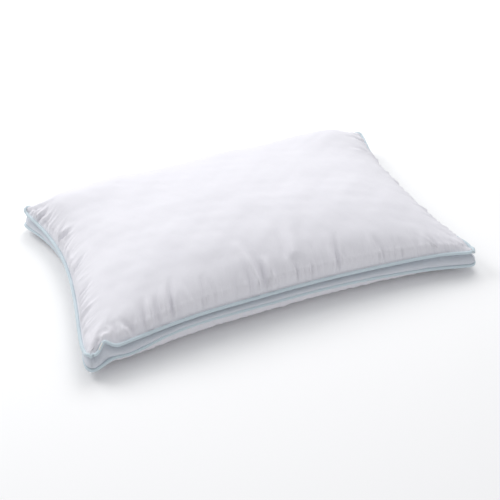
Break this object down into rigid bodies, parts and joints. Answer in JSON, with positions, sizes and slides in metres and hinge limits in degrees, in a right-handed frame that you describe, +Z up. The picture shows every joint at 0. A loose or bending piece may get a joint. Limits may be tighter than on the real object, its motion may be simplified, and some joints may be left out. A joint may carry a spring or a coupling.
{
  "type": "bed pillow",
  "caption": "Plump rectangular bed pillow with a narrow side gusset, piping along its upper and lower seams and a domed crown over loose fibre fill.",
  "frame": {"origin": "on the surface that the pillow lies on, below the middle of the pillow", "axes": "+X along the pillow's length, +Y from the front long side to the back long side, +Z up through the crown"},
  "size_m": [0.7308, 0.4436, 0.138],
  "materials": {
    "shell_cotton": "cool white downproof cotton in a fine plain weave, matte with a faint sheen",
    "gusset_cotton": "the same white cotton, cut as a narrow band",
    "piping_tape": "pale blue bias-cut cotton sateen tape, soft sheen",
    "piping_cord": "soft twisted cotton filler cord, natural white",
    "fibre_fill": "loose white polyester cluster fibre",
    "sewing_thread": "white spun polyester sewing thread",
    "label_tape": "blank white satin label tape"
  },
  "bodies": {
    "root": {"top_panel": "shell_cotton", "bottom_panel": "shell_cotton", "gusset_front": "gusset_cotton", "gusset_right": "gusset_cotton", "gusset_back": "gusset_cotton", "gusset_left": "gusset_cotton", "upper_piping_cover": "piping_tape", "upper_piping_cord": "piping_cord", "lower_piping_cover": "piping_tape", "lower_piping_cord": "piping_cord", "fill": "fibre_fill", "upper_seam_thread": "sewing_thread", "lower_seam_thread": "sewing_thread", "gusset_corner_threads": "sewing_thread", "closing_stitches": "sewing_thread", "care_label": "label_tape"}
  },
  "joints": []
}
